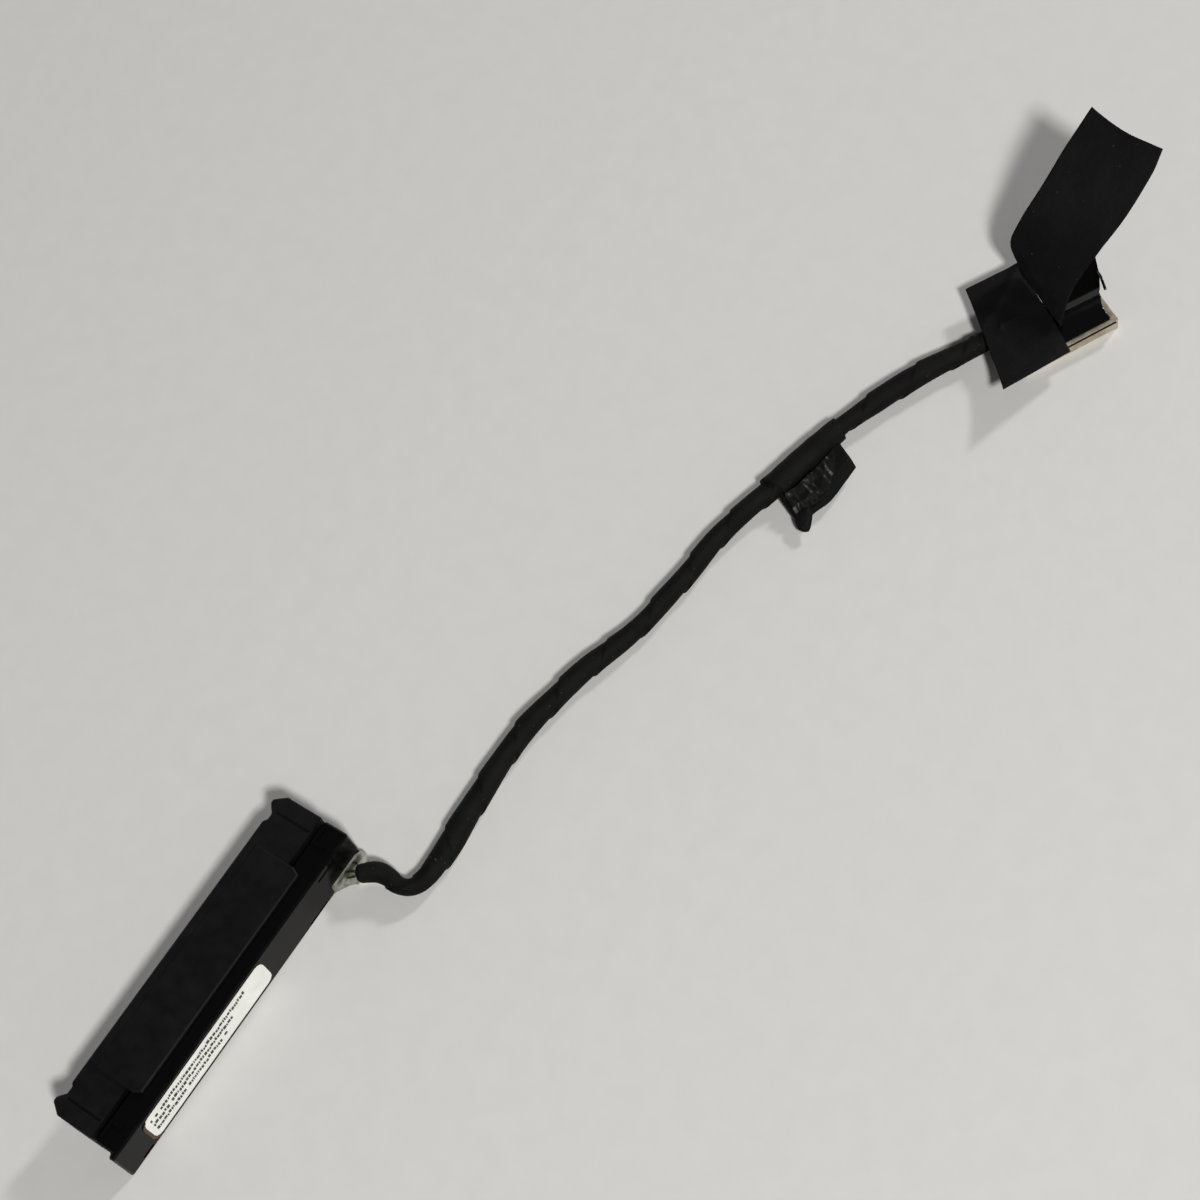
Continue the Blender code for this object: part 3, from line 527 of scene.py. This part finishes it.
def gold_plate():
    """Gold plating on phosphor bronze: warm yellow metal."""
    made, tree, shader = finish_named("gold_plated_spring", "#D9B765", 0.28, {"Metallic": 1.0})
    place = add(tree, "ShaderNodeTexCoord").outputs["Object"]
    vary_roughness(tree, shader, grain(tree, place, 0.6).outputs["Fac"], 0.2, 0.36)
    return made


def nickel_plate():
    """Nickel plated sheet steel, stamped: a pale, slightly warm metal."""
    made, tree, shader = finish_named("nickel_plated_steel", "#C4B9A5", 0.45, {"Metallic": 1.0})
    place = add(tree, "ShaderNodeTexCoord").outputs["Object"]
    vary(tree, shader, grain(tree, place, 1.2, 3.0).outputs["Fac"], "#B5AA95", "#CFC5B2")
    vary_roughness(tree, shader, grain(tree, place, 0.8, 3.0).outputs["Fac"], 0.4, 0.55)
    return made


def hot_melt():
    """Hot-melt glue: grey-green, milky and half clear, with a wet shine."""
    made, tree, shader = finish_named("hot_melt_glue", "#93958A", 0.3, {
        "Transmission Weight": 0.15,
        "Subsurface Weight": 0.2,
        "Subsurface Scale": 0.6 * MM,
    })
    place = add(tree, "ShaderNodeTexCoord").outputs["Object"]
    vary(tree, shader, grain(tree, place, 1.1, 3.0).outputs["Fac"], "#6E6C5E", "#A6A89C")
    emboss(tree, shader, grain(tree, place, 0.7, 3.0).outputs["Fac"], 0.08)
    return made


def label_paper():
    """Coated label paper: off-white and dull."""
    made, tree, shader = finish_named("coated_label_paper", "#E6E6DF", 0.55)
    place = add(tree, "ShaderNodeTexCoord").outputs["Object"]
    vary(tree, shader, grain(tree, place, 2.0, 4.0).outputs["Fac"], "#E1E1DA", "#EAEAE4")
    emboss(tree, shader, grain(tree, place, 0.2, 2.0).outputs["Fac"], 0.004)
    return made


def print_ribbon():
    """Thermal print: dark grey resin, a little uneven."""
    made, tree, shader = finish_named("thermal_print_resin", "#1E1E20", 0.5)
    place = add(tree, "ShaderNodeTexCoord").outputs["Object"]
    vary(tree, shader, grain(tree, place, 0.5).outputs["Fac"], "#19191B", "#3A3A3E")
    return made


def polyimide():
    """Polyimide film: clear amber with a shine."""
    made, tree, shader = finish_named("polyimide_film", "#3A2410", 0.25)
    place = add(tree, "ShaderNodeTexCoord").outputs["Object"]
    vary(tree, shader, grain(tree, place, 1.0).outputs["Fac"], "#2A190A", "#4A3016")
    return made


def wire_insulation(name, dark, light):
    """Fluoropolymer wire insulation: smooth and slightly shiny."""
    made, tree, shader = finish_named(name, dark, 0.35)
    place = add(tree, "ShaderNodeTexCoord").outputs["Object"]
    vary(tree, shader, grain(tree, place, 0.7).outputs["Fac"], dark, light)
    return made


def table_paint():
    """The table: plain warm grey paint, faintly mottled."""
    made, tree, shader = finish_named("painted_table_top", "#CCCBC8", 0.85, {"Specular IOR Level": 0.1})
    place = add(tree, "ShaderNodeTexCoord").outputs["Object"]
    vary(tree, shader, grain(tree, place, 3.0, 5.0).outputs["Fac"], "#CBCAC7", "#CDCCC9")
    return made


# Pieces

def bundle_rings():
    """Rings along the wire bundle: centre, side, up, half width, half height, distance."""
    spans = (len(CABLE_ROUTE) - 1) * CABLE_STEPS
    line = [curve_at(CABLE_ROUTE, index / spans) for index in range(spans + 1)]
    rings = []
    travelled = 0.0
    for index, here in enumerate(line):
        before = line[max(index - 1, 0)]
        after = line[min(index + 1, spans)]
        run = (after.xyz - before.xyz).normalized()
        side = Vector((run.y, -run.x, 0.0)).normalized()
        up = side.cross(run)
        if index:
            travelled += (here.xyz - before.xyz).length
        half_width = max(here.w / 2, LEAST_HALF_WIDTH)
        half_height = min(half_width, here.z - FLOOR_GAP)
        rings.append((here.xyz, side, up, half_width, half_height, travelled))
    return rings


RINGS = bundle_rings()
CABLE_LENGTH = RINGS[-1][5]


def tape_radius(distance, turn):
    """How far the spiral tape stands proud at this place, in millimetres."""
    phase = (distance / TAPE_PITCH + TAPE_PHASE - turn / (2 * math.pi)) % 1.0
    return TAPE_STEP * (0.5 - phase)


def cable_place(u, v):
    """A point of the taped bundle's surface."""
    centre, side, up, half_width, half_height, distance = RINGS[round(v * (len(RINGS) - 1))]
    turn = 2 * math.pi * u
    arrow = side * math.cos(turn) + up * math.sin(turn)
    lump = LUMP_HEIGHT * noise.noise((centre + arrow) / LUMP_SIZE)
    proud = tape_radius(distance, turn) + lump
    short = max(1.0 - distance / END_ROUNDING, 0.0)
    taper = max(math.sqrt(1.0 - short * short), END_LEAST_SHARE)
    point = centre + side * math.cos(turn) * (half_width + proud) * taper
    point += up * math.sin(turn) * (half_height + proud) * taper
    point.z = max(point.z, LOWEST)
    return point * MM


def make_cable(finish):
    """The wire bundle in its spiral of cloth tape."""
    size = (math.pi * CABLE_DIAMETER, CABLE_LENGTH)
    mesh = mapped_grid("taped_bundle", CABLE_SIDES, len(RINGS) - 1, size, cable_place, tube=True)
    return link("taped_bundle", mesh, finish, ("cable_sleeve",))


def ring_at(distance):
    """The bundle's ring at this distance, between two of the rings."""
    for first, second in zip(RINGS, RINGS[1:]):
        if second[5] >= distance:
            part = (distance - first[5]) / (second[5] - first[5])
            return [a + (b - a) * part for a, b in zip(first, second)]
    return list(RINGS[-1])


def distance_at_x(x):
    """How far along the bundle it first reaches this x, past its tight bend."""
    for ring in RINGS:
        if ring[0].x >= x and ring[5] > TIGHT_BEND_END:
            return ring[5]
    return CABLE_LENGTH


def wrap_place(u, v):
    """A point of the tape wrap's outside."""
    turn = 2 * math.pi * u
    lean = (1 + math.cos(turn)) / 2
    start = distance_at_x(WRAP_FROM) + WRAP_SKEW_START * lean
    end = distance_at_x(WRAP_TO) + WRAP_SKEW_END * lean
    centre, side, up, half_width, half_height, distance = ring_at(start + (end - start) * v)
    across = WRAP_CREASES_ROUND * math.cos(turn)
    above = WRAP_CREASES_ROUND * math.sin(turn)
    crease = WRAP_CREASE * noise.noise(Vector((distance / WRAP_CREASE_LENGTH, across, above)))
    lift = WRAP_LIFT + crease
    point = centre + side * math.cos(turn) * (half_width + lift)
    point += up * math.sin(turn) * (half_height + lift * WRAP_LIFT_SHARE_ON_TOP)
    point.z = max(point.z, LOWEST)
    return point * MM


def flag_place(rows, seed, height, size):
    """A place function for a crinkled sheet through rows of points."""
    def place(u, v):
        point = surface_at(rows, u, v)
        fine = ripple(point, size * FINE_CRINKLE_SIZE, seed + 7)
        point.z += height * (ripple(point, size, seed) + FINE_CRINKLE * fine)
        return point * MM
    return place


def facet(value):
    """A triangle wave between -1 and 1 with a period of one."""
    return 4.0 * abs((value % 1.0) - 0.5) - 1.0


def film_facets(u, v):
    """A point of the flag's crinkled film: sharp ridges that cross in four directions."""
    point = surface_at(FILM_ROWS, u, v)
    warp = FILM_WARP * ripple(point, FILM_WARP_LENGTH, 2.0)
    lift = 0.0
    for angle, length, height in FILM_CREASES:
        run = point.x * math.cos(angle) + point.y * math.sin(angle)
        lift += height * facet(run / length + warp)
    point.z += lift + FILM_GRAIN * ripple(point, FILM_GRAIN_LENGTH, 4.0)
    return point * MM


def make_mid_flag(cloth, film):
    """Tape folded round the bundle, with a glossy crinkled face and a folded tip."""
    wrap = link("tape_wrap", mapped_grid("tape_wrap", 40, 60, WRAP_FLAT, wrap_place, tube=True),
                cloth, ("mid_tape_flag",))
    mesh = mapped_grid("tape_flag", 36, 24, FLAG_FLAT, flag_place(FLAG_ROWS, 1.0, 0.12, 1.6))
    flag = link("tape_flag", mesh, cloth, ("mid_tape_flag",))
    thicken(flag, FLAG_THICKNESS)
    face = link("flag_film", mapped_grid("flag_film", 120, 80, FILM_FLAT, film_facets),
                film, ("mid_tape_flag",))
    thicken(face, FILM_THICKNESS)
    tip = link("flag_tip", mapped_grid("flag_tip", 16, 16, TIP_FLAT, flag_place(TIP_ROWS, 9.0, 0.1, 0.8)),
               cloth, ("mid_tape_flag",))
    thicken(tip, FLAG_THICKNESS)
    return [wrap, flag, face, tip]


def bump_at(point, centre, radius, height):
    """Height of a round bump."""
    gap = (Vector(point[:2]) - Vector(centre)).length / radius
    return height * math.exp(-gap * gap)


def ridge_at(point, start, end, width, height):
    """Height of a rounded ridge along a line."""
    here = Vector(point[:2])
    run = Vector(end) - Vector(start)
    share = min(max((here - Vector(start)).dot(run) / run.length_squared, 0.0), 1.0)
    gap = (here - Vector(start) - run * share).length / width
    return height * math.exp(-gap * gap)


def tape_place(u, v):
    """A point of the board tape, with the ridges of what lies under it."""
    point = surface_at(TAPE_ROWS, u, v)
    for ridge in TAPE_RIDGES:
        point.z += ridge_at(point, *ridge)
    point.z += bump_at(point, *TAPE_BUMP)
    point.z += TAPE_WAVE * ripple(point, TAPE_WAVE_LENGTH, 3.0)
    return plug_point(point)


def tab_place(u, v):
    """A point of the pull tab, with its crease and slightly hollow end."""
    point = surface_at(TAB_ROWS, u, v)
    hollow = TAB_HOLLOW * math.sin(math.pi * u) * v ** TAB_HOLLOW_POWER
    point.x -= hollow * TAB_HOLLOW_WAY[0]
    point.y -= hollow * TAB_HOLLOW_WAY[1]
    point.z += ridge_at(point, *TAB_RIDGE) * (1 - v)
    point.z += TAB_WAVE * ripple(point, TAB_WAVE_LENGTH, 8.0)
    return plug_point(point)


def make_tapes(finish):
    """The tape over plug and wires, and the pull tab."""
    tape = link("plug_tape", mapped_grid("plug_tape", 60, 80, TAPE_FLAT, tape_place),
                finish, ("board_tape",))
    tab = link("lifting_tab", mapped_grid("lifting_tab", 48, 120, TAB_FLAT, tab_place),
               finish, ("pull_tab",))
    for piece in (tape, tab):
        thicken(piece, TAPE_THICKNESS)
    return tape, tab


def glue_place(u, v):
    """A point of the lump of glue that fills the exit and leaves it round the wires."""
    spine = curve_at(GLUE_SPINE, v)
    turn = 2 * math.pi * u
    share = min(max((v - GLUE_HOLE_END) / (GLUE_ROUND_FROM - GLUE_HOLE_END), 0.0), 1.0)
    power = GLUE_SQUARENESS + (1.0 - GLUE_SQUARENESS) * share
    wide = math.copysign(abs(math.cos(turn)) ** power, math.cos(turn)) * spine[3]
    high = math.copysign(abs(math.sin(turn)) ** power, math.sin(turn)) * spine[4]
    point = Vector(spine[:3]) + Vector((wide, 0.0, high))
    rough = noise.noise(point / GLUE_LUMP) + 0.5 * noise.noise(point / GLUE_FINE_LUMP)
    point += Vector((math.cos(turn), 0.0, math.sin(turn))) * GLUE_ROUGHNESS * share * rough
    point.z = max(point.z, LOWEST)
    return point * MM


def strand(name, points, radius, finish):
    """A thin round strand along a smooth line of points."""
    length = sum((Vector(b) - Vector(a)).length for a, b in zip(points, points[1:]))

    def place(u, v):
        here = curve_at(points, v)
        run = curve_at(points, min(v + STRAND_STEP, 1.0)) - curve_at(points, max(v - STRAND_STEP, 0.0))
        side = run.cross(Vector((0.0, 0.0, 1.0))).normalized()
        up = side.cross(run).normalized()
        turn = 2 * math.pi * u
        return (here + (side * math.cos(turn) + up * math.sin(turn)) * radius) * MM

    size = (2 * math.pi * radius, length)
    return link(name, mapped_grid(name, 16, 24, size, place, tube=True), finish)


def make_glue(finish, wire_finish):
    """The glue at the cable's exit, with the wires that show in it."""
    mesh = mapped_grid("exit_glue", 48, 60, GLUE_FLAT, glue_place, tube=True)
    pieces = [link("exit_glue", mesh, finish, ("inner_mould",))]
    for number, points in enumerate(GLUED_WIRES, 1):
        pieces.append(strand(f"glued_wire_{number}", points, GLUED_WIRE_RADIUS, wire_finish))
    return pieces


def film_place(u, v):
    """A point of the glossy film that follows the plug's crest."""
    point = surface_at(PLUG_FILM_ROWS, u, v)
    point.z += PLUG_FILM_WAVE * ripple(point, PLUG_FILM_WAVE_LENGTH, 5.0)
    return plug_point(point)


def make_plug_film(finish):
    """The glossy film over the plug's rear part, with a curled edge at its end."""
    film = link("glossy_film", mapped_grid("glossy_film", 60, 80, PLUG_FILM_FLAT, film_place),
                finish, ("plug_film",))
    thicken(film, PLUG_FILM_THICKNESS)
    line = [plug_point(point) / MM for point in FILM_CURL_LINE]
    curl = strand("film_curl", line, FILM_CURL_RADIUS, finish)
    return film, curl


def plug_bar(name, low, high, finish):
    """A straight bar between two corners of the plug's own frame, its edges rounded."""
    shape = bmesh.new()
    size = Vector(high) - Vector(low)
    centre = (Vector(high) + Vector(low)) / 2
    bmesh.ops.create_cube(shape, size=1.0, matrix=Matrix.Diagonal((*size, 1.0)))
    edges = shape.edges[:]
    width = BAR_ROUNDING
    bmesh.ops.bevel(shape, geom=edges, offset=width, segments=2, profile=0.5, affect="EDGES", material=-1)
    for corner in shape.verts:
        corner.co = plug_point(corner.co + centre)
    bmesh.ops.recalc_face_normals(shape, faces=shape.faces)
    return link_shape(name, shape, finish)


def make_cap_front(metal, plastic):
    """The shell's front lip, and under it a black bar of painted shade for the dark bend between the
    shell's roof and its front.
    """
    half = ROOF_LENGTH / 2
    low = (-half, ROOF_FRONT_Y, ROOF_LOW)
    high = (half, ROOF_REAR_Y, ROOF_HIGH)
    roof = plug_bar("cap_roof", low, high, metal)
    # Painted shade: a black moulded bar in the bend under the shell's lip
    low = (SHADE_STRIP_INSET - half, SHADE_STRIP_FRONT_Y, SHADE_STRIP_LOW)
    high = (half - SHADE_STRIP_INSET, SHADE_STRIP_REAR_Y, ROOF_LOW)
    return roof, plug_bar("cap_shade_strip", low, high, plastic)


def make_plug_rows(gold, insulation):
    """The plug's row of contacts and its fan of wires, each shown as one piece."""
    pins = [f"plug_contact_{number}" for number in range(1, PLUG_CIRCUITS + 1)]
    wires = [f"plug_wire_{number}" for number in range(1, PLUG_CIRCUITS + 1)]
    row = link_shape("plug_pins", node_copy(*pins), gold, pins)
    return row, link_shape("wire_fan", node_copy(*wires), insulation, wires)


def make_print(finish):
    """Three rows of plain short dashes, as on a small parts label."""
    chance = random.Random(PRINT_SEED)
    shape = bmesh.new()
    for height, share in PRINT_ROWS:
        x = LABEL_LEFT + PRINT_MARGIN
        end = LABEL_LEFT + LABEL_LENGTH * share
        while x < end:
            width = chance.uniform(*DASH_WIDTHS)
            rise = height + chance.choice(DASH_RISES)
            lean = COVER_LEAN * (rise / COVER_HEIGHT - 0.5)
            centre = Vector((x + width / 2, LABEL_FACE_Y + lean, rise))
            size = Vector((width, PRINT_DEPTH, chance.uniform(*DASH_HEIGHTS)))
            place = Matrix.Translation(centre * MM) @ Matrix.Diagonal((*(size * MM), 1.0))
            bmesh.ops.create_cube(shape, size=1.0, matrix=place)
            x += width + (WORD_GAP if chance.random() < WORD_GAP_CHANCE else chance.uniform(*DASH_GAPS))
    return link_shape("label_print", shape, finish)


def make_housing(finish):
    """The housing, with the rounded rim of its raised plate that catches the light."""
    shape = node_copy("receptacle_housing")
    bmesh.ops.dissolve_limit(shape, angle_limit=FLAT_ANGLE, verts=shape.verts, edges=shape.edges)
    rims = []
    for edge in shape.edges:
        high = all(corner.co.z > PLATE_RIM_LOW * MM for corner in edge.verts)
        if high and len(edge.link_faces) == 2 and edge.calc_face_angle() > RIM_LEAST_ANGLE:
            rims.append(edge)
    width = PLATE_RIM_ROUNDING * MM
    bmesh.ops.bevel(shape, geom=rims, offset=width, segments=3, profile=0.5, affect="EDGES", material=-1)
    return link_shape("housing_moulding", shape, finish, ("receptacle_housing",))


def make_label(finish):
    """The paper label, as close to the cover's face as its thin paper lies."""
    shape = node_copy("label")
    lean = COVER_LEAN * LABEL_RAISE / COVER_HEIGHT
    step = Vector((0.0, LABEL_SINK + lean, LABEL_RAISE)) * MM
    bmesh.ops.translate(shape, vec=step, verts=shape.verts)
    return link_shape("paper_label", shape, finish, ("label",))


def dress(finish, *names):
    """Give CAD nodes their material."""
    for name in names:
        node = NODES[name]
        for place in node.material_slots:
            place.material = finish


# Camera

def make_camera():
    """The camera at the photograph's place and angle."""
    eye = Vector(CAMERA_PLACE)
    ahead = (Vector(CAMERA_TARGET) - eye).normalized()
    level = ahead.cross(Vector((0, 0, 1))).normalized()
    above = level.cross(ahead)
    right = math.cos(CAMERA_ROLL) * level + math.sin(CAMERA_ROLL) * above
    up = math.cos(CAMERA_ROLL) * above - math.sin(CAMERA_ROLL) * level
    turn = Matrix((right, up, -ahead)).transposed()
    lens = bpy.data.cameras.new("camera")
    lens.lens = CAMERA_LENS
    lens.sensor_width = SENSOR_WIDTH
    lens.sensor_fit = "AUTO"
    lens.clip_start = NEAREST_SEEN * MM
    lens.clip_end = FARTHEST_SEEN * MM
    camera = put("camera", lens)
    camera.matrix_world = Matrix.Translation(eye * MM) @ turn.to_4x4()
    bpy.context.scene.camera = camera


# Light and floor

LIGHT_TARGET = (60.0, -15.0, 0.0)
MAIN_LIGHT_PLACE = (-199.0, -569.0, 756.0)
MAIN_LIGHT_SIZE = 126.0
MAIN_LIGHT_POWER = 7.8
LOW_LIGHT_PLACE = (1212.0, -150.0, 684.0)
LOW_LIGHT_SIZE = 162.0
LOW_LIGHT_POWER = 8.0
ROOM_PALE = "#A0A09E"
ROOM_PALE_UP_TO = 0.42
ROOM_DIM = "#3C3C3E"
ROOM_DIM_FROM = 0.58
TABLE_PLACE = (60.0, -10.0, -0.01)
TABLE_HALF_WIDTH = 1500.0


def area_lamp(name, place, size, power, colour):
    """A square soft lamp that shines at the middle of the part."""
    lamp = bpy.data.lights.new(name, "AREA")
    lamp.energy = power
    lamp.size = size * MM
    lamp.color = linear(colour)
    holder = put(name, lamp)
    holder.location = metres(place)
    back = Vector(place) - Vector(LIGHT_TARGET)
    holder.rotation_euler = back.to_track_quat("Z", "Y").to_euler()


def make_world():
    """A room that is pale near the horizon and dim overhead."""
    world = bpy.data.worlds.new("room")
    bpy.context.scene.world = world
    world.use_nodes = True
    tree = world.node_tree
    tree.nodes.clear()
    source = add(tree, "ShaderNodeTexCoord")
    split = add(tree, "ShaderNodeSeparateXYZ", {"Vector": source.outputs["Generated"]})
    ramp = add(tree, "ShaderNodeValToRGB", {"Fac": split.outputs["Z"]})
    ramp.color_ramp.elements[0].position = ROOM_PALE_UP_TO
    ramp.color_ramp.elements[0].color = (*linear(ROOM_PALE), 1.0)
    ramp.color_ramp.elements[1].position = ROOM_DIM_FROM
    ramp.color_ramp.elements[1].color = (*linear(ROOM_DIM), 1.0)
    room = add(tree, "ShaderNodeBackground", {"Color": ramp.outputs["Color"], "Strength": 1.0})
    add(tree, "ShaderNodeOutputWorld", {"Surface": room.outputs[0]})


def make_floor(finish):
    """The table top under the cable."""
    shape = bmesh.new()
    place = Matrix.Translation(metres(TABLE_PLACE))
    bmesh.ops.create_grid(shape, x_segments=1, y_segments=1, size=TABLE_HALF_WIDTH * MM, matrix=place)
    floor = put("table_top", mesh_of("table_top", shape))
    floor.data.materials.append(finish)


def main():
    """Dress the part and set the scene."""
    bpy.context.scene.view_settings.view_transform = "Standard"
    make_camera()
    cloth = cloth_tape("woven_cloth_tape", "#0B0B0B", "#080808", "#0F0F0E", 0.30, 0.012, 0.7, 0.4)
    acetate = cloth_tape("acetate_cloth_tape", "#0A0A0B", "#08080A", "#0C0C0E", 0.22, 0.006, 0.65, 0.2)
    crinkled = polyester_film("crinkled_polyester_film", "#10100E", 0.36, 0.008, 0.17)
    smooth = polyester_film("smooth_polyester_film", "#070606", 0.1, 0.003, 0.6)
    cable = make_cable(cloth)
    flag = make_mid_flag(cloth, crinkled)
    glue = make_glue(hot_melt(), wire_insulation("glued_wire_insulation", "#23261F", "#34382E"))
    tape, tab = make_tapes(acetate)
    nickel = nickel_plate()
    film = make_plug_film(smooth)
    moulded = moulded_nylon()
    cap = make_cap_front(nickel, moulded)
    gold = gold_plate()
    rows = make_plug_rows(gold, wire_insulation("black_wire_insulation", "#161617", "#242425"))
    make_housing(moulded)
    make_label(label_paper())
    make_print(print_ribbon())

    dress(moulded, "plug_insulator")
    dress(polished_abs(), "rear_cover")
    contacts = [name for name in NODES if name.startswith(("signal_contact_", "power_contact_"))]
    dress(gold, *contacts)
    dress(nickel, "plug_shell")
    dress(polyimide(), "label_underlay")

    make_world()
    area_lamp("main_light", MAIN_LIGHT_PLACE, MAIN_LIGHT_SIZE, MAIN_LIGHT_POWER, "#FFFEFC")
    area_lamp("low_light", LOW_LIGHT_PLACE, LOW_LIGHT_SIZE, LOW_LIGHT_POWER, "#FFFFFF")
    make_floor(table_paint())


main()
